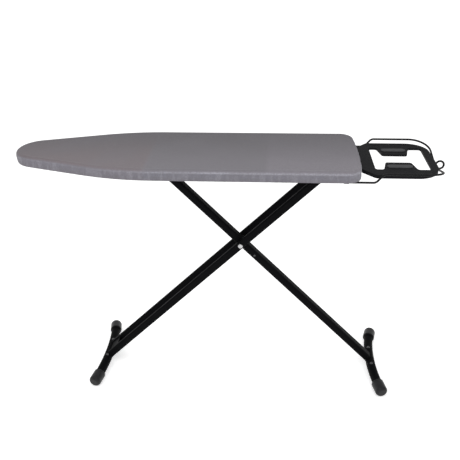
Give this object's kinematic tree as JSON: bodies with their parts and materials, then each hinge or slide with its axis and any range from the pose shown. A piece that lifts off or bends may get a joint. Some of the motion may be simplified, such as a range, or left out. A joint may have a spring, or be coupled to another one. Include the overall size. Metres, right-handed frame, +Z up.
{
  "type": "ironing board",
  "caption": "Folding ironing board: padded cloth-covered top, scissor legs on bowed bar feet, open iron rest with a guard wire, and a release lever under the top.",
  "frame": {"origin": "on the floor, under the middle of the object's box when it stands", "axes": "+X along the board from the nose to the iron rest, +Y from the front edge to the rear edge, +Z up"},
  "size_m": [1.5056, 0.3976, 0.929],
  "materials": {
    "cover_fabric": "woven cotton, grey with a mauve tint",
    "felt": "needled felt",
    "deck_steel": "satin, expanded mesh",
    "black_paint": "semi-gloss powder coat",
    "charcoal_paint": "fine-textured powder coat",
    "wire_paint": "semi-gloss",
    "foot_plastic": "satin moulded",
    "zinc": "bright zinc plate",
    "black_oxide": "blackened steel with a faint shine",
    "silicone": "soft matt",
    "nylon": "satin"
  },
  "bodies": {
    "board": {"cover": "cover_fabric", "pad": "felt", "deck_mesh": "deck_steel", "rim_frame": "black_paint", "cross_bars": "black_paint", "front_rail": "black_paint", "rear_rail": "black_paint", "front_hinge_bracket": "black_paint", "rear_hinge_bracket": "black_paint", "hinge_axle": "zinc", "hinge_nuts": "zinc", "lever_hangers": "black_paint", "lever_spring": "zinc", "iron_rest": "charcoal_paint", "rest_screws": "zinc", "front_rest_pad": "silicone", "rear_rest_pad": "silicone", "guard_wire": "wire_paint", "wire_clips": "wire_paint"},
    "leg_a": {"leg_a_front_tube": "black_paint", "leg_a_rear_tube": "black_paint", "hinge_bushes": "nylon", "leg_a_plugs": "foot_plastic", "leg_a_spacer": "black_paint", "leg_a_gusset": "black_paint", "left_foot_bar": "black_paint", "left_foot_screws": "black_oxide", "left_front_foot_cap": "foot_plastic", "left_rear_foot_cap": "foot_plastic", "pivot_bolt": "zinc", "pivot_nut": "zinc", "pivot_washers": "nylon"},
    "leg_b": {"leg_b_tube": "black_paint", "pivot_sleeve": "zinc", "leg_b_plug": "foot_plastic", "stop_rivet": "black_oxide", "right_foot_bar": "black_paint", "right_foot_screws": "black_oxide", "right_front_foot_cap": "foot_plastic", "right_rear_foot_cap": "foot_plastic", "slide_axle": "zinc", "axle_clips": "zinc"},
    "slide_shoes": {"front_slide_shoe": "nylon", "rear_slide_shoe": "nylon"},
    "release_lever": {"lever_rod": "black_paint", "lever_grip": "foot_plastic", "latch_comb": "zinc"}
  },
  "joints": [
    {"name": "leg_a_fold", "type": "hinge", "parent": "board", "child": "leg_a", "pos_m": [0.35083, 0, 0.875], "axis": [0, 1, 0], "range_deg": [0, 40.5]},
    {"name": "leg_b_pivot", "type": "hinge", "parent": "leg_a", "child": "leg_b", "pos_m": [0.0457, 0, 0.5688], "axis": [0, 1, 0], "range_deg": [-81, 0]},
    {"name": "slide_shoe_turn", "type": "hinge", "parent": "leg_b", "child": "slide_shoes", "pos_m": [-0.25943, 0, 0.875], "axis": [0, 1, 0], "range_deg": [0, 40.5]},
    {"name": "release_lever_turn", "type": "hinge", "parent": "board", "child": "release_lever", "pos_m": [0, -0.074, 0.866], "axis": [-1, 0, 0], "range_deg": [0, 20], "stiffness_Nm_per_rad": 1.5, "springref_deg": -17.19}
  ],
  "couplings": [
    {"joint": "leg_b_pivot", "follows": "leg_a_fold", "ratio": -2},
    {"joint": "slide_shoe_turn", "follows": "leg_a_fold", "ratio": 1}
  ]
}
